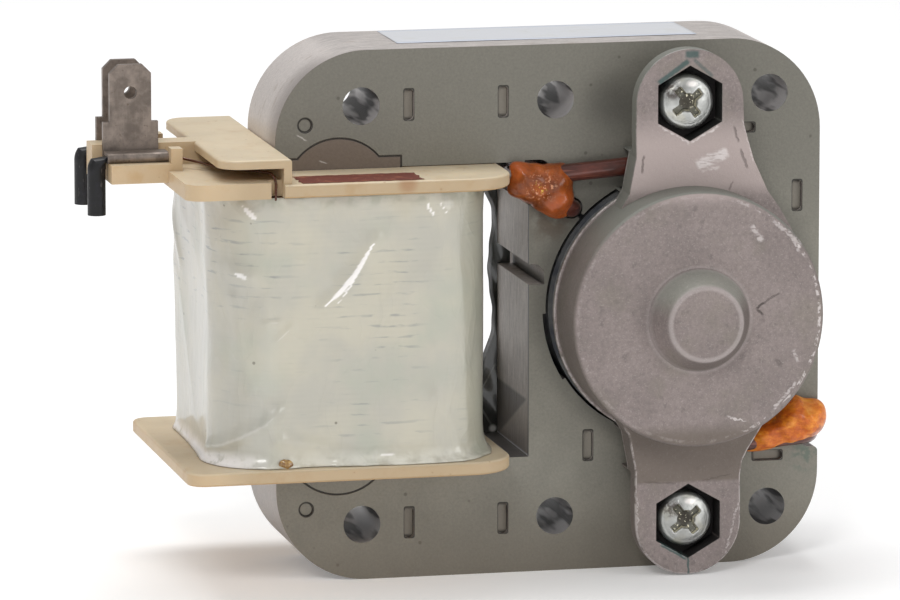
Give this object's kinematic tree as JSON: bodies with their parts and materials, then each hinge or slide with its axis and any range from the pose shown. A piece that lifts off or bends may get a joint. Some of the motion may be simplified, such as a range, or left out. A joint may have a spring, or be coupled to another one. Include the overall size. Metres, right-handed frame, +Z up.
{
  "type": "microwave fan motor",
  "caption": "Shaded-pole C-frame fan motor with laminated stack, wrapped coil, push-on tab terminals, die-cast bearing brackets and a plain output shaft.",
  "frame": {"origin": "on the rotor axis, at the middle of the laminated stack", "axes": "+Y along the shaft towards its output end, +Z up through both bracket screws, +X towards the pole side, away from the coil"},
  "size_m": [0.0852, 0.0697, 0.0606],
  "materials": {
    "lamination_steel": "ground grey electrical steel, faintly oiled",
    "bobbin_plastic": "cream moulded nylon, satin",
    "magnet_wire": "enamelled copper wire",
    "coil_film": "clear glossy film over a cream wrap",
    "terminal_metal": "dull tarnished tin plate",
    "black_sleeve": "smooth black sleeve",
    "shading_copper": "varnished dark copper",
    "joint_varnish": "glossy red-orange insulating varnish",
    "bracket_casting": "matt zinc die casting",
    "bearing_bronze": "oiled sintered bronze",
    "oil_felt": "oil-soaked wool felt",
    "spring_steel": "bright spring steel",
    "cage_aluminium": "cast aluminium",
    "shaft_steel": "ground bright steel",
    "collar_plastic": "white nylon",
    "screw_zinc": "bright zinc plate"
  },
  "bodies": {
    "stator": {"main_core": "lamination_steel", "coil_core": "lamination_steel", "bobbin": "bobbin_plastic", "winding": "magnet_wire", "coil_wrap": "coil_film", "terminal_front": "terminal_metal", "terminal_rear": "terminal_metal", "sleeve_front": "black_sleeve", "sleeve_rear": "black_sleeve", "lead_wire_front": "magnet_wire", "lead_wire_rear": "magnet_wire", "upper_large_ring": "shading_copper", "upper_small_ring": "shading_copper", "lower_large_ring": "shading_copper", "lower_small_ring": "shading_copper", "upper_joint_varnish": "joint_varnish", "lower_joint_varnish": "joint_varnish", "front_bracket": "bracket_casting", "rear_bracket": "bracket_casting", "front_bush": "bearing_bronze", "rear_bush": "bearing_bronze", "front_felt": "oil_felt", "rear_felt": "oil_felt", "front_bush_retainer": "spring_steel", "rear_bush_retainer": "spring_steel", "upper_screw": "screw_zinc", "lower_screw": "screw_zinc", "upper_nut": "screw_zinc", "lower_nut": "screw_zinc"},
    "rotor": {"rotor_core": "lamination_steel", "rotor_cage": "cage_aluminium", "shaft": "shaft_steel", "front_collar": "collar_plastic", "rear_collar": "collar_plastic", "front_thrust_washer": "collar_plastic", "rear_thrust_washer": "collar_plastic"}
  },
  "joints": [
    {"name": "rotor_spin", "type": "hinge", "parent": "stator", "child": "rotor", "pos_m": [0, 0, 0], "axis": [0, 1, 0], "continuous": true}
  ]
}
